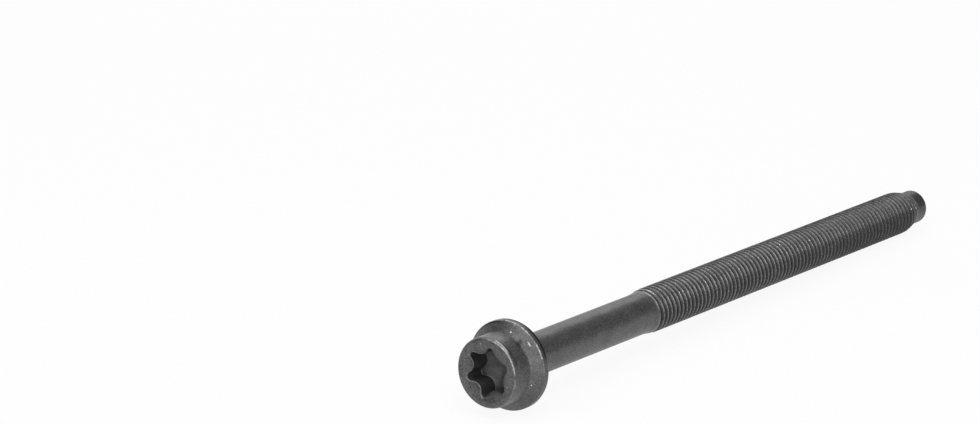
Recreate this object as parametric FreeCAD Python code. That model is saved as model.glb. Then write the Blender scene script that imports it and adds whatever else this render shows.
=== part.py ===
import FreeCAD, Part
import math
import os

# Cylinder head bolt: one cold-forged piece with a round flanged head, a six-lobe recess,
# a waisted shank, a long rolled thread and a plain dog point. Millimetres and degrees.
# Stations run along the bolt from its bearing face: the head is behind it, the tip ahead.

# thread, M12 x 1.75; its turns are far finer than the form, so it is its outer cylinder here
thread_diameter = 12.0
bolt_length = 190.0          # bearing face to the end of the point
lead_in_length = 5.2         # cone that starts the thread in its hole
lead_in_blend = 10.0         # how softly the thread runs into that cone

# plain dog point ahead of the thread
point_diameter = 9.4
point_length = 4.0
point_edge = 0.5
point_neck = 0.3             # hollow corner between the lead-in cone and the point

# waisted shank, rolled to the thread's pitch diameter
shank_diameter = 10.85
shank_length = 53.6          # bearing face to the start of the swell
swell_length = 4.9           # cone that takes the shank up to the thread
swell_blend = 8.0
under_head_fillet = 1.0

# six-lobe recess, size 60
lobe_count = 6
recess_tip_diameter = 13.3   # across two opposite lobes
recess_waist_diameter = 9.6  # across two opposite ridges
lobe_tip_radius = 1.09
recess_depth = 6.4           # face to the floor at the lobe tips
floor_slope = 15.0           # the punch leaves a shallow cone there
recess_turn = -8.5           # how a lobe happens to lie from upright, degrees

# round head
head_height = 11.3           # bearing face to the top face
seam_turn = 3.3              # the turned form's seam line, from upright: off the line it lies on
recess_rim = 0.95            # lobe tips to the edge of the countersink
face_lip = 0.7               # flat ring around the countersink
face_edge = 0.9              # rounding of the head's top edge
countersink_slope = 20.0     # the countersink's fall from the face

# flange forged with the head
flange_overhang = 2.55       # how far it stands out from the head
flange_rim = 2.8             # thickness at its edge
flange_slope = 42.0          # fall of its upper side
flange_root_fillet = 0.5
flange_top_edge = 0.6
flange_bearing_edge = 1.2

thread_radius = thread_diameter / 2
point_radius = point_diameter / 2
shank_radius = shank_diameter / 2
countersink_radius = recess_tip_diameter / 2 + recess_rim
head_radius = countersink_radius + face_lip + face_edge
flange_radius = head_radius + flange_overhang
thread_end = bolt_length - point_length - lead_in_length
top_face = -head_height
bolt_axis = FreeCAD.Vector(1, 0, 0)


def tangent_arc(before, corner, after, radius):
    """The arc of that radius which rounds a corner: its start, middle and end."""
    to_before = (before - corner).normalize()
    to_after = (after - corner).normalize()
    half_angle = to_before.getAngle(to_after) / 2
    setback = radius / math.tan(half_angle)
    bisector = (to_before + to_after).normalize()
    middle = corner + bisector * (radius / math.sin(half_angle) - radius)
    return corner + to_before * setback, middle, corner + to_after * setback


def rounded_face(corners):
    """A closed flat face from (station, radius, rounding) corners."""
    places = [FreeCAD.Vector(station, 0, radius) for station, radius, _ in corners]
    edges = []
    first_point = last_point = None
    for index, (_, _, rounding) in enumerate(corners):
        arc = [places[index]]
        if rounding:
            after = places[(index + 1) % len(places)]
            arc = tangent_arc(places[index - 1], places[index], after, rounding)
        if last_point is None:
            first_point = arc[0]
        else:
            edges.append(Part.makeLine(last_point, arc[0]))
        if rounding:
            edges.append(Part.Arc(*arc).toShape())
        last_point = arc[-1]
    edges.append(Part.makeLine(last_point, first_point))
    return Part.Face(Part.Wire(edges))


def turned_blank():
    """Head, flange, shank, thread and point as one turned form, with the countersink."""
    countersink_depth = countersink_radius * math.tan(math.radians(countersink_slope))
    rim_top = -flange_rim
    flange_root = rim_top - flange_overhang * math.tan(math.radians(flange_slope))
    half_outline = [
        (top_face + countersink_depth, 0, 0),
        (top_face, countersink_radius, 0),
        (top_face, head_radius, face_edge),
        (flange_root, head_radius, flange_root_fillet),
        (rim_top, flange_radius, flange_top_edge),
        (0, flange_radius, flange_bearing_edge),
        (0, shank_radius, under_head_fillet),
        (shank_length, shank_radius, swell_blend),
        (shank_length + swell_length, thread_radius, swell_blend),
        (thread_end, thread_radius, lead_in_blend),
        (thread_end + lead_in_length, point_radius, point_neck),
        (bolt_length, point_radius, point_edge),
        (bolt_length, 0, 0),
    ]
    blank = rounded_face(half_outline).revolve(FreeCAD.Vector(), bolt_axis, 360)
    blank.rotate(FreeCAD.Vector(), bolt_axis, seam_turn)
    return blank


def lobe_wire():
    """The recess's outline on the top face: tip arcs and ridge arcs that run into each other."""
    tip_centre = recess_tip_diameter / 2 - lobe_tip_radius
    waist = recess_waist_diameter / 2
    half_step = math.pi / lobe_count
    # the ridge arc bulges inwards to the waist and is tangent to both neighbouring tip arcs
    ridge_radius = (
        (lobe_tip_radius ** 2 - tip_centre ** 2 - waist ** 2 + 2 * tip_centre * waist * math.cos(half_step))
        / (2 * (waist - tip_centre * math.cos(half_step) - lobe_tip_radius))
    )
    ridge_centre = waist + ridge_radius

    def on_face(radius, angle):
        return FreeCAD.Vector(top_face, radius * math.sin(angle), radius * math.cos(angle))

    edges = []
    for index in range(lobe_count):
        tip_angle = math.radians(recess_turn) + 2 * index * half_step
        tip = on_face(tip_centre, tip_angle)
        ridge_before = on_face(ridge_centre, tip_angle - half_step)
        ridge_after = on_face(ridge_centre, tip_angle + half_step)
        start = tip + (ridge_before - tip).normalize() * lobe_tip_radius
        end = tip + (ridge_after - tip).normalize() * lobe_tip_radius
        next_tip = on_face(tip_centre, tip_angle + 2 * half_step)
        next_start = next_tip + (ridge_after - next_tip).normalize() * lobe_tip_radius
        edges.append(Part.Arc(start, on_face(recess_tip_diameter / 2, tip_angle), end).toShape())
        edges.append(Part.Arc(end, on_face(waist, tip_angle + half_step), next_start).toShape())
    return Part.Wire(edges)


def drive_recess():
    """What the punch takes out: a lobed prism that ends in the punch's blunt cone."""
    slope = math.tan(math.radians(floor_slope))
    shoulder = recess_depth - recess_rim * slope
    cone_height = countersink_radius * slope
    prism = Part.Face(lobe_wire()).extrude(bolt_axis * (shoulder + cone_height))
    mouth = FreeCAD.Vector(top_face, 0, 0)
    cylinder = Part.makeCylinder(countersink_radius, shoulder, mouth, bolt_axis)
    cone = Part.makeCone(countersink_radius, 0, cone_height, mouth + bolt_axis * shoulder, bolt_axis)
    return prism.common(cylinder.fuse(cone))


def resting_tilt():
    """The bolt lies on its flange and the end of its thread, so its axis falls towards the tip.

    The floor is the common tangent of two roundings: the flange's bearing edge and the
    thread's blend into its lead-in cone.
    """
    cone_angle = math.atan2(thread_radius - point_radius, lead_in_length)
    blend_start = thread_end - lead_in_blend * math.tan(cone_angle / 2)
    run = blend_start + flange_bearing_edge
    drop = (flange_radius - flange_bearing_edge) - (thread_radius - lead_in_blend)
    difference = flange_bearing_edge - lead_in_blend
    return math.degrees(math.atan2(drop, run) + math.asin(difference / math.hypot(run, drop)))


def lay_on_floor(bolt):
    """Turn the bolt to its resting tilt, with the origin under the middle of its box."""
    laid = bolt.copy()
    laid.rotate(FreeCAD.Vector(), FreeCAD.Vector(0, 1, 0), resting_tilt())
    box = laid.optimalBoundingBox(False)
    laid.translate(FreeCAD.Vector(-box.Center.x, -box.Center.y, -box.ZMin))
    return laid


bolt = turned_blank().cut(drive_recess())
head_bolt = lay_on_floor(bolt.Solids[0])

os.makedirs("parts", exist_ok=True)
head_bolt.exportStep("parts/head_bolt.step")

print("head diameter", round(2 * head_radius, 2), "flange diameter", round(2 * flange_radius, 2))
print("solids", len(bolt.Solids), "valid", head_bolt.isValid(), "volume mm3", round(head_bolt.Volume, 1))
print("resting tilt", round(resting_tilt(), 3), "degrees, box", head_bolt.optimalBoundingBox(False))
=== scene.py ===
import bpy
import bmesh
import math
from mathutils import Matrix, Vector


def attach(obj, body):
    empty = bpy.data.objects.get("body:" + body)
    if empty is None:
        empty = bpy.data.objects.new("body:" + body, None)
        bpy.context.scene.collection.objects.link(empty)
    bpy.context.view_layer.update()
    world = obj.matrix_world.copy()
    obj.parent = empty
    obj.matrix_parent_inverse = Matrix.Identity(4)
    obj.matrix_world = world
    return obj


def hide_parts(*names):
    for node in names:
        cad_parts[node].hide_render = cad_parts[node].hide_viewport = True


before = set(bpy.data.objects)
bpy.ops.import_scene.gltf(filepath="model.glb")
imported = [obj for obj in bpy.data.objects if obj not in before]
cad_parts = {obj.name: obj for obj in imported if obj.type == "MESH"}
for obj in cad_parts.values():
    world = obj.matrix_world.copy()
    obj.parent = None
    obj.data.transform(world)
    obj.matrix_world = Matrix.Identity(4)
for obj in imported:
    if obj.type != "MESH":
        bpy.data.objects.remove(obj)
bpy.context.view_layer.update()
print("frame loaded:", sorted(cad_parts))

# The bolt is modelled in millimetres along X from its bearing face, head at negative stations,
# and is laid on the floor at the end, where the CAD has it.
lying = {
    "tilt": math.radians(1.82047),
    "bearingFace": (-0.089240, 0.0, 0.0117066),
    "millimetre": 0.001,
}


def cleanSlate():
    if bpy.context.object and bpy.context.object.mode != 'OBJECT':
        bpy.ops.object.mode_set(mode='OBJECT')
    bpy.ops.object.select_all(action='DESELECT')


def makeActive(piece):
    cleanSlate()
    piece.select_set(True)
    bpy.context.view_layer.objects.active = piece


def pick(piece, kind, test):  # in edit mode: selects the vertices, edges or faces that pass
    bpy.ops.mesh.select_mode(type={'verts': 'VERT', 'edges': 'EDGE', 'faces': 'FACE'}[kind])
    bpy.ops.mesh.select_all(action='DESELECT')
    mesh = bmesh.from_edit_mesh(piece.data)
    for element in getattr(mesh, kind):
        element.select_set(bool(test(element)))
    mesh.select_flush_mode()
    bmesh.update_edit_mesh(piece.data)


def singleVertex(name, place):  # a plane merged to one vertex, ready to be extruded
    cleanSlate()
    bpy.ops.mesh.primitive_plane_add(size=1)
    piece = bpy.context.object
    piece.name = name
    piece.data.name = name
    bpy.ops.object.mode_set(mode='EDIT')
    bpy.ops.mesh.select_mode(type='VERT')
    bpy.ops.mesh.select_all(action='SELECT')
    bpy.ops.mesh.merge(type='CENTER')
    bpy.ops.transform.translate(value=place)
    return piece


def drawOutline(name, corners):  # corners are station, radius, rounding, segments
    nearby = 1e-3
    piece = singleVertex(name, (corners[0][0], 0, corners[0][1]))
    for here, there in zip(corners, corners[1:]):
        step = (there[0] - here[0], 0, there[1] - here[1])
        bpy.ops.mesh.extrude_region_move(TRANSFORM_OT_translate={"value": step})
    for before, corner, after in zip(corners, corners[1:], corners[2:]):
        station, radius, rounding, segments = corner
        if not rounding:
            continue
        place = Vector((station, 0, radius))
        toBefore = Vector((before[0], 0, before[1])) - place
        toAfter = Vector((after[0], 0, after[1])) - place
        setback = rounding / math.tan(toBefore.angle(toAfter) / 2)
        pick(piece, 'verts', lambda v: (v.co - place).length < nearby)
        bpy.ops.mesh.bevel(affect='VERTICES', offset_type='OFFSET', offset=setback,
                           segments=segments, profile=0.5, clamp_overlap=False)
    return piece


def cut(piece, cutter, solver):
    makeActive(piece)
    difference = piece.modifiers.new("cut", 'BOOLEAN')
    difference.operation = 'DIFFERENCE'
    difference.solver = solver
    difference.object = cutter
    bpy.ops.object.modifier_apply(modifier=difference.name)
    bpy.data.objects.remove(cutter)


# the turned blank
blank = {
    "steps": 90,                     # facets round the axis
    "countersinkRadius": 7.6,
    "headRadius": 9.2,
    "flangeRadius": 11.75,
    "shankRadius": 5.425,
    "threadRadius": 6.0,
    "pointRadius": 4.7,
    "topFace": -11.3,                # stations from here to the tip
    "countersinkBottom": -8.534,
    "flangeRoot": -5.096,
    "rimTop": -2.8,
    "bearingFace": 0.0,
    "shankEnd": 53.6,
    "swellEnd": 58.5,
    "threadEnd": 180.8,
    "pointStart": 186.0,
    "tip": 190.0,
    "countersinkEdge": (0.12, 2),    # roundings from here on, with their segments
    "headEdge": (0.9, 6),
    "flangeFillet": (0.5, 4),
    "rimEdge": (0.6, 5),
    "bearingEdge": (1.2, 6),
    "underHeadFillet": (1.0, 6),
    "swellBlend": (8.0, 4),
    "leadInBlend": (10.0, 4),
    "pointNeck": (0.3, 3),
    "pointEdge": (0.5, 5),
}


def blankOutline():
    return [
        (blank["countersinkBottom"], 0.0, 0, 0),
        (blank["topFace"], blank["countersinkRadius"], *blank["countersinkEdge"]),
        (blank["topFace"], blank["headRadius"], *blank["headEdge"]),
        (blank["flangeRoot"], blank["headRadius"], *blank["flangeFillet"]),
        (blank["rimTop"], blank["flangeRadius"], *blank["rimEdge"]),
        (blank["bearingFace"], blank["flangeRadius"], *blank["bearingEdge"]),
        (blank["bearingFace"], blank["shankRadius"], *blank["underHeadFillet"]),
        (blank["shankEnd"], blank["shankRadius"], *blank["swellBlend"]),
        (blank["swellEnd"], blank["threadRadius"], *blank["swellBlend"]),
        (blank["threadEnd"], blank["threadRadius"], *blank["leadInBlend"]),
        (blank["pointStart"], blank["pointRadius"], *blank["pointNeck"]),
        (blank["tip"], blank["pointRadius"], *blank["pointEdge"]),
        (blank["tip"], 0.0, 0, 0),
    ]


def turnBlank():
    piece = drawOutline("bolt", blankOutline())
    bpy.ops.mesh.select_all(action='SELECT')
    bpy.ops.mesh.spin(steps=blank["steps"], angle=2 * math.pi, center=(0, 0, 0), axis=(1, 0, 0))
    bpy.ops.mesh.select_all(action='SELECT')
    bpy.ops.mesh.remove_doubles(threshold=1e-4)
    bpy.ops.mesh.normals_make_consistent(inside=False)
    bpy.ops.object.mode_set(mode='OBJECT')
    return piece


# the rolled thread
thread = {
    "pitch": 1.75,                      # M12, right-handed
    "depth": 0.6134,                    # of the pitch, as the next two
    "opening": 7 / 8,
    "rootRounding": 0.1443,
    "rootSegments": 5,
    "flankAngle": math.radians(30),
    "crestBreak": 0.05,
    "breakSlope": 1.2,                  # how wide the break is for its depth
    "overlap": 0.02,                    # the break's slope runs on above the crest
    "cutterHeight": 0.6,                # above the crest
    "steps": 90,
    "turns": 76,
    "start": 55.85,                     # station of the groove's middle where it starts
    "startAngle": math.radians(180),    # from straight up: the groove starts under the bolt
    "runOut": 0.5,                      # turns until the groove has its depth
    "runOutRise": 1.15,                 # of the depth, at the groove's very start
    "runOutCurve": 1.5,
}


def grooveSection():  # station and radius round the groove, from its outer corner
    pitch, crest, slope = thread["pitch"], blank["threadRadius"], math.tan(thread["flankAngle"])
    apex = crest - (pitch * thread["opening"] / 2) / slope
    edge = crest - thread["crestBreak"]
    edgeWidth = (edge - apex) * slope
    outerWidth = edgeWidth + thread["breakSlope"] * (thread["crestBreak"] + thread["overlap"])
    return [
        (-outerWidth, crest + thread["overlap"], 0, 0),
        (-edgeWidth, edge, 0, 0),
        (0.0, apex, thread["rootRounding"] * pitch, thread["rootSegments"]),
        (edgeWidth, edge, 0, 0),
        (outerWidth, crest + thread["overlap"], 0, 0),
        (outerWidth, crest + thread["cutterHeight"], 0, 0),
        (-outerWidth, crest + thread["cutterHeight"], 0, 0),
    ]


def runOutGroove(groove):  # the groove's first stretch rises to the surface
    fullRise = thread["runOutRise"] * thread["depth"] * thread["pitch"]
    upright = math.pi / 2
    for v in groove.data.vertices:
        turned = (math.atan2(v.co.z, v.co.y) - upright - thread["startAngle"]) / (2 * math.pi)
        turned += round((v.co.x - thread["start"]) / thread["pitch"] - turned)
        if turned < thread["runOut"]:
            rise = (1 - turned / thread["runOut"]) ** thread["runOutCurve"] * fullRise
            offAxis = math.hypot(v.co.y, v.co.z)
            v.co.y *= (offAxis + rise) / offAxis
            v.co.z *= (offAxis + rise) / offAxis


def rollThread():
    groove = drawOutline("grooveCutter", grooveSection())
    bpy.ops.mesh.select_all(action='SELECT')
    bpy.ops.mesh.edge_face_add()
    bpy.ops.mesh.delete(type='ONLY_FACE')
    bpy.ops.mesh.select_all(action='SELECT')
    bpy.ops.transform.rotate(value=-thread["startAngle"], orient_axis='X', center_override=(0, 0, 0))
    bpy.ops.transform.translate(value=(thread["start"], 0, 0))
    bpy.ops.object.mode_set(mode='OBJECT')
    screw = groove.modifiers.new("helix", 'SCREW')
    screw.axis = 'X'
    screw.angle = 2 * math.pi
    screw.screw_offset = thread["pitch"]
    screw.iterations = thread["turns"]
    screw.steps = screw.render_steps = thread["steps"]
    screw.use_merge_vertices = False
    bpy.ops.object.modifier_apply(modifier=screw.name)
    runOutGroove(groove)
    bpy.ops.object.mode_set(mode='EDIT')
    bpy.ops.mesh.select_mode(type='EDGE')
    bpy.ops.mesh.select_all(action='DESELECT')
    bpy.ops.mesh.select_non_manifold()
    bpy.ops.mesh.edge_face_add()
    bpy.ops.mesh.select_all(action='SELECT')
    bpy.ops.mesh.normals_make_consistent(inside=False)
    bpy.ops.object.mode_set(mode='OBJECT')
    return groove


# the punched recess
recess = {
    "lobes": 6,
    "tipRadius": 6.65,
    "waistRadius": 4.8,
    "lobeRounding": 1.09,
    "lobeSteps": 10,
    "turn": math.radians(-8.5),
    "depth": 6.4,
    "floorSlope": math.radians(15),
    "floorRounding": 0.15,
    "mouthRounding": 0.16,
    "roundingSegments": 3,
    "cutterAbove": 1.0,          # how far the cutter starts above the face
    "mouthReach": (2.0, 7.2),    # the mouth's edge is within this depth and radius
    "wallLean": 0.3,             # a wall's normal has at most this share along the axis
    "coneLean": 0.85,            # and the countersink's has at least this
}


def drawLobes(station):
    tipCentre = recess["tipRadius"] - recess["lobeRounding"]
    waist, step = recess["waistRadius"], 2 * math.pi / recess["lobes"]
    between = tipCentre * math.cos(step / 2)
    ridgeRounding = ((recess["lobeRounding"] ** 2 - tipCentre ** 2 - waist ** 2 + 2 * between * waist)
                     / (2 * (waist - between - recess["lobeRounding"])))
    ridgeCentre = waist + ridgeRounding
    ridgeAcross = ridgeCentre * math.cos(step / 2) - tipCentre
    towardsRidge = math.atan2(ridgeCentre * math.sin(step / 2), ridgeAcross)

    def onFace(radius, angle):
        return Vector((station, radius * math.sin(angle), radius * math.cos(angle)))

    start = onFace(tipCentre, recess["turn"]) + (
        onFace(recess["lobeRounding"], recess["turn"] - towardsRidge) - Vector((station, 0, 0)))
    piece = singleVertex("recessCutter", start)
    for lobe in range(recess["lobes"]):
        angle = recess["turn"] + lobe * step
        bpy.ops.mesh.spin(steps=recess["lobeSteps"], angle=2 * towardsRidge,
                          center=onFace(tipCentre, angle), axis=(1, 0, 0))
        bpy.ops.mesh.spin(steps=recess["lobeSteps"], angle=step - 2 * towardsRidge,
                          center=onFace(ridgeCentre, angle + step / 2), axis=(1, 0, 0))
    bpy.ops.mesh.select_all(action='SELECT')
    bpy.ops.mesh.remove_doubles(threshold=1e-3)
    bpy.ops.mesh.edge_face_add()
    return piece


def punchRecess():
    nearby = 0.01
    piece = drawLobes(blank["topFace"] - recess["cutterAbove"])
    down = (recess["depth"] + recess["cutterAbove"], 0, 0)
    bpy.ops.mesh.extrude_region_move(TRANSFORM_OT_translate={"value": down})
    floorStation = blank["topFace"] + recess["depth"]
    pick(piece, 'edges', lambda e: all(v.co.x > floorStation - nearby for v in e.verts))
    bpy.ops.mesh.bevel(offset=recess["floorRounding"], segments=recess["roundingSegments"],
                       clamp_overlap=False)
    # the floor is the only face down there with more than four corners
    pick(piece, 'faces', lambda f: f.calc_center_median().x > floorStation - nearby and len(f.verts) > 4)
    bpy.ops.mesh.poke()
    mesh = bmesh.from_edit_mesh(piece.data)
    for v in mesh.verts:      # the punch ends in a blunt cone
        if v.co.x > floorStation - recess["floorRounding"] - nearby:
            offAxis = math.hypot(v.co.y, v.co.z)
            v.co.x += (recess["tipRadius"] - offAxis) * math.tan(recess["floorSlope"])
    bmesh.update_edit_mesh(piece.data)
    bpy.ops.mesh.select_all(action='SELECT')
    bpy.ops.mesh.normals_make_consistent(inside=False)
    bpy.ops.object.mode_set(mode='OBJECT')
    return piece


def breakMouth(bolt):  # the recess's sharp mouth gets its small rounding
    reachDown, reachOut = recess["mouthReach"]

    def onMouth(edge):
        if len(edge.link_faces) != 2:
            return False
        lean = sorted(abs(face.normal.x) for face in edge.link_faces)
        offAxis = max(math.hypot(v.co.y, v.co.z) for v in edge.verts)
        nearFace = max(v.co.x for v in edge.verts) < blank["topFace"] + reachDown
        wallMeetsCone = lean[0] < recess["wallLean"] and lean[1] > recess["coneLean"]
        return wallMeetsCone and offAxis < reachOut and nearFace

    makeActive(bolt)
    bpy.ops.object.mode_set(mode='EDIT')
    pick(bolt, 'edges', onMouth)
    bpy.ops.mesh.bevel(offset=recess["mouthRounding"], segments=recess["roundingSegments"],
                       clamp_overlap=False)
    bpy.ops.object.mode_set(mode='OBJECT')


# from blank to bolt
smoothing = {
    "sharpFrom": math.radians(36),
    "weight": 80,
}


def finishShading(bolt):
    makeActive(bolt)
    bpy.ops.object.shade_smooth_by_angle(angle=smoothing["sharpFrom"])
    weighted = bolt.modifiers.new("weighted", 'WEIGHTED_NORMAL')
    weighted.keep_sharp = True
    weighted.weight = smoothing["weight"]
    bpy.ops.object.modifier_apply(modifier=weighted.name)


def layOnFloor(bolt):
    makeActive(bolt)
    bolt.scale = (lying["millimetre"],) * 3
    bolt.rotation_euler = (0, lying["tilt"], 0)
    bolt.location = lying["bearingFace"]
    bpy.ops.object.transform_apply(location=True, rotation=True, scale=True)


bolt = turnBlank()
print("blank turned:", len(bolt.data.polygons), "faces")
cut(bolt, punchRecess(), 'EXACT')
breakMouth(bolt)
print("recess punched:", len(bolt.data.polygons), "faces")
cut(bolt, rollThread(), 'MANIFOLD')
print("thread rolled:", len(bolt.data.polygons), "faces")
layOnFloor(bolt)
finishShading(bolt)
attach(bolt, "root")
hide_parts("head_bolt")


# the finish: phosphate with wear, and painted light and shade
phosphate = {
    "dark": 0.086,
    "light": 0.112,
    "roughness": 0.43,
    "roughnessSpread": 0.06,
    "metallic": 0.5,
    "bumpStrength": 0.45,
    "bumpHeight": 0.00005,         # metres
    "noises": {                    # scale per millimetre, detail, roughness, seed
        "grain": (4.0, 3.0, 0.65, 1.3),
        "mottle": (2.6, 2.0, 0.6, 6.1),
        "blotches": (0.22, 3.0, 0.55, 4.7),
        "worn": (1.1, 4.0, 0.65, 8.2),
        "sparkle": (2.2, 2.0, 0.5, 12.9),
    },
    "spans": {                     # the part of a noise that is used, from its low to its high end
        "speckles": (0.35, 0.65),
        "blotches": (0.3, 0.7),
        "roughness": (0.3, 0.7),
        "brokenLines": (0.40, 0.56),
        "sparkles": (0.62, 0.7),
    },
    "speckles": {                  # how strong they are, as shares of the tone
        "head": 0.46,
        "shank": 0.38,
        "recess": 0.45,            # of what the head has
        "mottle": 1.0,
        "grain": 0.7,
    },
}

# Each zone fades in from its first value to its second.
zones = {
    "threadStart": (55.4, 56.2),           # stations
    "threadEnd": (186.2, 185.6),
    "point": (185.6, 186.2),
    "paleTip": (110.0, 160.0),
    "darkTip": (95.0, 165.0),
    "pastHead": (-5.6, -4.8),
    "onHead": (1.0, -1.0),
    "rimBack": (-1.75, -1.35),
    "recessTop": (-10.9, -10.2),
    "recessEnd": (-2.9, -3.1),
    "crests": (0.22, 0.05),                # millimetres under the blank's surface
    "roots": (0.08, 0.6),
    "belowMouth": (0.02, 0.08),            # millimetres under the countersink
    "mouthEdgeEnd": (0.32, 0.18),
    "insideRecess": (7.0, 6.7),            # millimetres off the axis
    "insideMouth": (7.0, 6.8),
    "lobeTips": (5.0, 6.3),
    "litFloor": (0.4, 2.8),
    "rim": (10.2, 10.8),
    "floor": (-3.32, -3.18),               # stations, carried to the axis along the floor's cone
    "wall": (-3.18, -3.32),
    "floorEdge": (-3.40, -3.30),
    "floorEdgeEnd": (-3.124, -3.17),
}

# Each side of the bolt where light or shade is painted has its middle's angle from upright, and the
# cosines of the angles off it at which the side starts and is full.
sides = {
    "upperCrests": (-15, 0.75, 0.97),
    "underThread": (-125, 0.35, 0.66),
    "mouthEdge": (125, 0.1, 0.4),
    "floorEdge": (130, 0.89, 0.966),
    "litFloor": (135, 0.78, 0.98),
    "rimBack": (-10, 0.3, 0.6),
    "glints": (-30, 0.75, 0.97),
}

# wear on the bolt, with painted light and shade among its marks
wearAndPaintedLight = {
    "left": {          # what is left of the tone, or of the mark that is named
        "crestsAtTip": 0.4,
        # painted shade: the crests' light wear is weaker on the upper side
        "upperCrests": 0.55,
        # painted shade in the thread's roots, with a duller coating there too, less of it at the tip
        "rootsAtTip": 0.75,
        "roots": 0.28,
        # painted shade on the thread's underside, more towards the tip, where it lies on the floor
        "underThread": 0.58,
        "underTip": 0.72,
        "point": 0.75,
        # painted light on one side of the recess floor
        "litFloor": 1.7,
        # painted shade at the recess floor's lobe tips and on the recess walls
        "lobeTips": 0.55,
        "recessWall": 0.6,
        # painted shade on one side of the rim's back, dimming its mirrored floor
        "rimBack": 0.12,
        "lineGaps": 0.3,
    },
    "added": {         # to the tone, and on the crests as a share of it
        "crests": 3.0,
        # painted highlights on one side of the recess's mouth and floor edge
        "mouthEdge": 0.24,
        "floorEdge": 0.18,
        # painted glints on the upper crests
        "glints": 0.55,
    },
    "lineCore": 0.3,           # of a line's width
    "arcEnds": (1.15, 0.75),   # of half an arc, where it starts and where it is full
    "spotCore": 0.4,           # of a spot's size
    "edges": [     # worn edges, with painted highlights on the arcs: station, distance from the axis, width, middle and half of the arc from upright, tone
        (-10.98, 8.90, 0.34, 0, 180, 0.04),
        (-10.98, 8.90, 0.28, -36, 44, 0.20),
        (-10.58, 9.17, 0.26, -29, 15, 0.42),
        (-2.64, 11.68, 0.26, -30, 62, 0.16),
        (-2.64, 11.68, 0.26, -29, 7, 0.40),
        (-2.62, 11.69, 0.24, -10, 13, 0.24),
        (-2.66, 11.67, 0.28, -61, 10, 0.75),
        (-3.72, 10.64, 0.22, -46, 4, 0.60),
        (-10.85, 8.97, 0.40, -118, 24, 0.07),
        (56.00, 5.70, 0.34, -35, 35, 0.22),
        (57.55, 5.87, 0.26, -15, 12, 0.30),
    ],
    "wornSpotsAndGlints": [     # worn spots, and painted glints on the thread's crests: station, distance from the axis, angle from upright, size, tone
        (-4.40, 9.93, -13.9, 0.26, 0.70),
        (-4.64, 9.68, -106.6, 0.20, 0.70),
        (-3.00, 11.53, -12, 0.28, 0.28),
        (-11.29, 7.65, 14, 0.32, 0.16),
        (-11.05, 6.92, -109, 0.34, 0.13),
        (-11.05, 6.92, 58, 0.32, 0.10),
        (-11.05, 6.92, 170, 0.32, 0.08),
        (-10.10, 9.20, -25, 0.30, 0.14),
        (-8.85, 9.20, 15, 0.50, 0.06),
        (66.6, 5.97, -49, 0.24, 0.70),
        (68.2, 5.97, -48, 0.18, 0.60),
        (111.6, 5.97, -37, 0.20, 0.60),
        (115.0, 5.97, -33, 0.24, 0.70),
        (117.0, 5.97, -25, 0.20, 0.60),
        (118.6, 5.97, -40, 0.28, 0.80),
        (129.4, 5.97, -45, 0.22, 0.60),
        (130.8, 5.97, -37, 0.30, 0.90),
        (180.4, 5.90, -67, 0.28, 0.60),
        (183.5, 5.30, -70, 0.22, 0.50),
    ],
    "paintedShadeEdges": [     # painted shade along edges, as the edges, with the factor that is left of the tone
        (-3.10, 11.50, 0.42, 34, 24, 0.25),
        (-9.85, 9.20, 0.36, -45, 24, 0.55),
    ],
    "darkSpots": [     # as the worn spots, with the factor that is left of the tone
        (-5.50, 9.20, -36.7, 1.3, 0.4),
        (-4.67, 9.64, -34.6, 0.9, 0.4),
    ],
}

steel = bpy.data.materials.new("phosphatedSteel")
steel.use_nodes = True


def add(kind, **settings):
    node = steel.node_tree.nodes.new(kind)
    for name, value in settings.items():
        setattr(node, name, value)
    return node


def feed(value, socket):  # the value is a number, a tuple or another node's output
    if isinstance(value, (int, float, tuple)):
        socket.default_value = value
    else:
        steel.node_tree.links.new(value, socket)


def calc(operation, *values):
    node = add("ShaderNodeMath", operation=operation)
    for value, socket in zip(values, node.inputs):
        feed(value, socket)
    return node.outputs[0]


def times(first, *others):
    for other in others:
        first = calc('MULTIPLY', first, other)
    return first


def hypotenuse(across, up):
    return calc('SQRT', calc('ADD', calc('POWER', across, 2.0), calc('POWER', up, 2.0)))


def fade(value, low, high, atLow=0.0, atHigh=1.0, interpolation='SMOOTHSTEP'):
    node = add("ShaderNodeMapRange", interpolation_type=interpolation)
    for given, socket in zip((value, low, high, atLow, atHigh), node.inputs):
        feed(given, socket)
    return node.outputs[0]


def ramp(value, low, high, atLow=0.0, atHigh=1.0):
    return fade(value, low, high, atLow, atHigh, 'LINEAR')


def scaled(value, factor, mask):  # value times factor where the mask is 1
    return calc('MULTIPLY', value, ramp(mask, 0.0, 1.0, 1.0, factor))


def onBolt(station, radius, angle):
    return (station, radius * math.sin(math.radians(angle)), radius * math.cos(math.radians(angle)))


def measureBolt():  # millimetres from the bearing face, and with them station and distance from the axis
    along = add("ShaderNodeMapping", vector_type='TEXTURE')
    along.inputs["Location"].default_value = lying["bearingFace"]
    along.inputs["Rotation"].default_value = (0, lying["tilt"], 0)
    along.inputs["Scale"].default_value = (lying["millimetre"],) * 3
    feed(add("ShaderNodeTexCoord").outputs["Object"], along.inputs["Vector"])
    parts = add("ShaderNodeSeparateXYZ")
    feed(along.outputs["Vector"], parts.inputs[0])
    return along.outputs["Vector"], parts.outputs["X"], hypotenuse(parts.outputs["Y"], parts.outputs["Z"])


place, station, offAxis = measureBolt()


def noise(name):
    node = add("ShaderNodeTexNoise", noise_dimensions='4D')
    feed(place, node.inputs["Vector"])
    for value, socket in zip(phosphate["noises"][name], ("Scale", "Detail", "Roughness", "W")):
        feed(value, node.inputs[socket])
    return node.outputs["Fac"]


def distanceTo(point):
    node = add("ShaderNodeVectorMath", operation='DISTANCE')
    feed(place, node.inputs[0])
    feed(point, node.inputs[1])
    return node.outputs["Value"]


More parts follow.
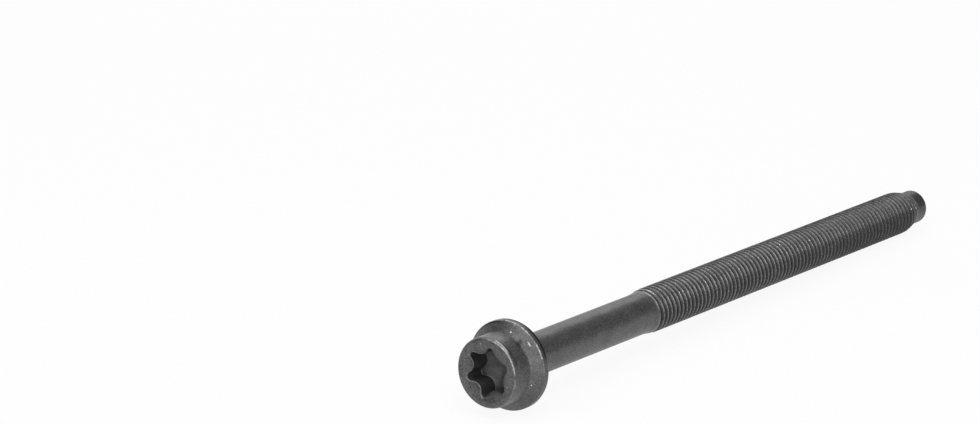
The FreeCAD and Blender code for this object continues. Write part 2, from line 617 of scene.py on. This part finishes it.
def towards(angle):  # 1 on the bolt's side at that angle from upright, -1 across from it
    node = add("ShaderNodeVectorMath", operation='DOT_PRODUCT')
    feed(place, node.inputs[0])
    feed(onBolt(0.0, 1.0, angle), node.inputs[1])
    return calc('DIVIDE', node.outputs["Value"], offAxis)


def zone(value, name, atLow=0.0, atHigh=1.0):
    return fade(value, *zones[name], atLow, atHigh)


def side(name, atLow=0.0, atHigh=1.0):
    angle, low, high = sides[name]
    return fade(towards(angle), low, high, atLow, atHigh)


def arcLine(atStation, atRadius, width, middle, half):
    away = hypotenuse(calc('SUBTRACT', station, atStation), calc('SUBTRACT', offAxis, atRadius))
    line = fade(away, width, width * wearAndPaintedLight["lineCore"])
    if half < 180:
        outer, inner = [math.cos(math.radians(half * end)) for end in wearAndPaintedLight["arcEnds"]]
        line = times(line, fade(towards(middle), outer, inner))
    return line


def spot(atStation, atRadius, angle, size):
    away = distanceTo(onBolt(atStation, atRadius, angle))
    return fade(away, size, size * wearAndPaintedLight["spotCore"])


def speckledTone(grain, inRecess):
    spans, speckles = phosphate["spans"], phosphate["speckles"]
    mottled = ramp(noise("mottle"), *spans["speckles"], -speckles["mottle"], speckles["mottle"])
    grainy = ramp(grain, *spans["speckles"], -speckles["grain"], speckles["grain"])
    strength = ramp(station, *zones["pastHead"], speckles["head"], speckles["shank"])
    strength = scaled(strength, speckles["recess"], inRecess)
    tone = fade(noise("blotches"), *spans["blotches"], phosphate["dark"], phosphate["light"])
    return times(tone, calc('ADD', 1.0, times(strength, calc('ADD', mottled, grainy))))


def threadMasks():  # how deep a point lies under the blank's surface tells crests from roots
    swell = ramp(station, blank["shankEnd"], blank["swellEnd"],
                 blank["shankRadius"], blank["threadRadius"])
    leadIn = ramp(station, blank["threadEnd"], blank["pointStart"],
                  blank["threadRadius"], blank["pointRadius"])
    depth = calc('SUBTRACT', calc('MINIMUM', swell, leadIn), offAxis)
    threaded = times(zone(station, "threadStart"), zone(station, "threadEnd"))
    crests = times(threaded, zone(depth, "crests"))
    crests = times(crests, zone(station, "paleTip", 1.0, wearAndPaintedLight["left"]["crestsAtTip"]))
    # painted shade: the crests' light wear is weaker on the upper side
    crests = times(crests, side("upperCrests", 1.0, wearAndPaintedLight["left"]["upperCrests"]))
    # the roots' mask carries painted shade, less of it at the tip
    roots = times(threaded, zone(depth, "roots"))
    roots = times(roots, zone(station, "paleTip", 1.0, wearAndPaintedLight["left"]["rootsAtTip"]))
    return threaded, crests, roots


def shadeThread(tone, threaded, crests, roots, worn):
    left = wearAndPaintedLight["left"]
    underside = times(threaded, side("underThread"))
    tone = times(tone, calc('ADD', 1.0, times(crests, worn, wearAndPaintedLight["added"]["crests"])))
    # painted shade in the roots, with a duller coating there too
    tone = scaled(tone, left["roots"], roots)
    # painted shade on the thread's underside, more towards the tip, where it lies on the floor
    tone = scaled(tone, left["underThread"], underside)
    tone = scaled(tone, left["underTip"], times(underside, zone(station, "darkTip")))
    return scaled(tone, left["point"], zone(station, "point"))


def shadeRecess(tone, inRecess):
    left, added = wearAndPaintedLight["left"], wearAndPaintedLight["added"]
    floorward = calc('ADD', station, times(offAxis, math.tan(recess["floorSlope"])))
    floor = times(inRecess, zone(floorward, "floor"))
    # painted light on one side of the recess floor
    tone = scaled(tone, left["litFloor"], times(floor, zone(offAxis, "litFloor"), side("litFloor")))
    # painted shade at the floor's lobe tips and on the recess walls
    tone = scaled(tone, left["lobeTips"], times(floor, zone(offAxis, "lobeTips")))
    tone = scaled(tone, left["recessWall"], times(inRecess, zone(floorward, "wall")))
    # painted highlights on one side of the floor's edge and of the mouth
    floorEdge = times(zone(floorward, "floorEdge"), zone(floorward, "floorEdgeEnd"))
    floorEdge = times(floorEdge, inRecess, side("floorEdge"))
    tone = calc('ADD', tone, times(floorEdge, added["floorEdge"]))
    coneSlope = (blank["countersinkBottom"] - blank["topFace"]) / blank["countersinkRadius"]
    belowBottom = calc('SUBTRACT', station, blank["countersinkBottom"])
    belowCone = calc('ADD', belowBottom, times(offAxis, coneSlope))
    mouthEdge = times(zone(belowCone, "belowMouth"), zone(belowCone, "mouthEdgeEnd"))
    mouthEdge = times(mouthEdge, zone(offAxis, "insideMouth"), side("mouthEdge"))
    return calc('ADD', tone, times(mouthEdge, added["mouthEdge"]))


def shadeRimBack(tone):
    # painted shade on one side of the rim's back, dimming its mirrored floor
    back = times(zone(station, "rimBack"), zone(offAxis, "rim"), zone(station, "onHead"), side("rimBack"))
    return scaled(tone, wearAndPaintedLight["left"]["rimBack"], back)


def markWearAndPaintedLight(tone, crests, worn):
    # dark spots; painted shade along edges; worn edges with painted highlights; worn spots with painted
    # glints
    for *where, left in wearAndPaintedLight["darkSpots"]:
        tone = scaled(tone, left, spot(*where))
    # painted shade along edges
    for *where, left in wearAndPaintedLight["paintedShadeEdges"]:
        tone = scaled(tone, left, arcLine(*where))
    broken = fade(worn, *phosphate["spans"]["brokenLines"], wearAndPaintedLight["left"]["lineGaps"], 1.0)
    # worn edges, with painted highlights on the arcs
    for *where, strength in wearAndPaintedLight["edges"]:
        tone = calc('ADD', tone, times(arcLine(*where), broken, strength))
    # worn spots, and painted glints on the thread's crests
    for *where, strength in wearAndPaintedLight["wornSpotsAndGlints"]:
        tone = calc('ADD', tone, times(spot(*where), strength))
    # painted glints on the upper crests
    sparkles = fade(noise("sparkle"), *phosphate["spans"]["sparkles"])
    return calc('ADD', tone, times(crests, side("glints"), sparkles, wearAndPaintedLight["added"]["glints"]))


def finishAndShadeSteel():
    # the phosphate and its wear, with painted light and shade, go into the base colour
    grain, worn = noise("grain"), noise("worn")
    inRecess = times(zone(station, "recessTop"), zone(station, "recessEnd"), zone(offAxis, "insideRecess"))
    threaded, crests, roots = threadMasks()
    tone = speckledTone(grain, inRecess)
    tone = shadeThread(tone, threaded, crests, roots, worn)
    tone = shadeRecess(tone, inRecess)
    tone = shadeRimBack(tone)
    tone = markWearAndPaintedLight(tone, crests, worn)

    shader = steel.node_tree.nodes["Principled BSDF"]
    colour = add("ShaderNodeCombineColor")
    for socket in colour.inputs:
        feed(tone, socket)
    feed(colour.outputs[0], shader.inputs["Base Color"])
    smooth = phosphate["roughness"] - phosphate["roughnessSpread"]
    rough = phosphate["roughness"] + phosphate["roughnessSpread"]
    feed(fade(grain, *phosphate["spans"]["roughness"], smooth, rough), shader.inputs["Roughness"])
    shader.inputs["Metallic"].default_value = phosphate["metallic"]
    bump = add("ShaderNodeBump")
    bump.inputs["Strength"].default_value = phosphate["bumpStrength"]
    bump.inputs["Distance"].default_value = phosphate["bumpHeight"]
    feed(grain, bump.inputs["Height"])
    feed(bump.outputs["Normal"], shader.inputs["Normal"])


finishAndShadeSteel()
bolt.data.materials.clear()
bolt.data.materials.append(steel)
print("steel finished:", len(steel.node_tree.nodes), "nodes")


# the studio
studio = {
    "cameraAt": (-0.88929, -0.60204, 0.36631),
    "looksAlong": (0.758905, 0.577999, -0.299969),
    "lens": 155.13,
    "sensorWidth": 36.0,
    "clip": (0.01, 50.0),
    "floorRadius": 8.0,
    "floorSides": 96,
    "rimHeight": 0.55,         # the floor's turned-up rim, the pale background of level views
    "white": 0.8,
    "floorGlow": 1.0,          # keeps the floor white where it is looked at or mirrored
    "rimGlow": 0.5,
    "glowShare": 0.92,         # the rest is the lit floor, with the bolt's shadow
    "worldLight": 0.03,
    "boxes": [                 # name, place, width, height, watts
        ("headSideBox", (-0.8, 0.1, 0.8), 0.7, 0.7, 4.8),
        ("topBox", (0.0, 0.0, 1.1), 1.0, 1.0, 2.1),
        ("frontBox", (-0.3, -0.6, 1.0), 0.8, 0.8, 7.0),
        ("backBox", (0.6, 0.5, 0.8), 0.8, 0.8, 4.1),
        ("lowBackBox", (0.85, 0.65, 0.35), 0.9, 0.5, 0.8),
        ("lowFarBox", (0.5, 1.1, 0.25), 0.9, 0.4, 2.6),
        ("lowFrontBox", (-1.0, -0.75, 0.25), 0.7, 0.4, 4.0),
    ],
}


def backgroundRays(tree):  # 1 for the rays that show the background: seen, mirrored or seen through
    rays = tree.nodes.new("ShaderNodeLightPath")
    shown = rays.outputs["Is Camera Ray"]
    for kind in ("Is Glossy Ray", "Is Transmission Ray"):
        larger = tree.nodes.new("ShaderNodeMath")
        larger.operation = 'MAXIMUM'
        tree.links.new(shown, larger.inputs[0])
        tree.links.new(rays.outputs[kind], larger.inputs[1])
        shown = larger.outputs[0]
    return shown


def paper(name, glow):
    material = bpy.data.materials.new(name)
    material.use_nodes = True
    nodes, links = material.node_tree.nodes, material.node_tree.links
    nodes.clear()
    lit = nodes.new("ShaderNodeBsdfDiffuse")
    lit.inputs["Color"].default_value = (studio["white"],) * 3 + (1,)
    glowing = nodes.new("ShaderNodeEmission")
    glowing.inputs["Strength"].default_value = glow
    share = nodes.new("ShaderNodeMath")
    share.operation = 'MULTIPLY'
    share.inputs[1].default_value = studio["glowShare"]
    links.new(backgroundRays(material.node_tree), share.inputs[0])
    mix = nodes.new("ShaderNodeMixShader")
    links.new(share.outputs[0], mix.inputs[0])
    links.new(lit.outputs[0], mix.inputs[1])
    links.new(glowing.outputs[0], mix.inputs[2])
    output = nodes.new("ShaderNodeOutputMaterial")
    links.new(mix.outputs[0], output.inputs["Surface"])
    return material


def whiteFloor():
    cleanSlate()
    bpy.ops.mesh.primitive_circle_add(vertices=studio["floorSides"], radius=studio["floorRadius"],
                                      fill_type='NGON')
    floor = bpy.context.object
    floor.name = "floor"
    floor.data.materials.append(paper("whiteFloor", studio["floorGlow"]))
    floor.data.materials.append(paper("paleRim", studio["rimGlow"]))
    bpy.ops.object.mode_set(mode='EDIT')
    pick(floor, 'edges', lambda e: True)
    bpy.ops.mesh.extrude_edges_move(TRANSFORM_OT_translate={"value": (0, 0, studio["rimHeight"])})
    pick(floor, 'faces', lambda f: abs(f.normal.z) < 0.5)
    floor.active_material_index = 1
    bpy.ops.object.material_slot_assign()
    bpy.ops.object.mode_set(mode='OBJECT')


def softLight():
    world = bpy.data.worlds.new("studio")
    bpy.context.scene.world = world
    world.use_nodes = True
    background = world.node_tree.nodes["Background"]
    background.inputs["Strength"].default_value = studio["worldLight"]
    background.inputs["Color"].default_value = (1, 1, 1, 1)
    for name, place, width, height, power in studio["boxes"]:
        bpy.ops.object.light_add(type='AREA', location=place)
        box = bpy.context.object
        box.name = name
        box.data.shape = 'RECTANGLE'
        box.data.size = width
        box.data.size_y = height
        box.data.energy = power
        box.rotation_euler = (-Vector(place)).to_track_quat('-Z', 'Y').to_euler()
        box.visible_camera = False


def photoCamera():
    bpy.ops.object.camera_add(location=studio["cameraAt"])
    camera = bpy.context.object
    camera.name = "photoCamera"
    camera.rotation_euler = Vector(studio["looksAlong"]).to_track_quat('-Z', 'Y').to_euler()
    camera.data.lens = studio["lens"]
    camera.data.sensor_width = studio["sensorWidth"]
    camera.data.clip_start, camera.data.clip_end = studio["clip"]
    bpy.context.scene.camera = camera


cleanSlate()
whiteFloor()
softLight()
photoCamera()
bpy.context.scene.view_settings.view_transform = 'Standard'
print("studio lit")
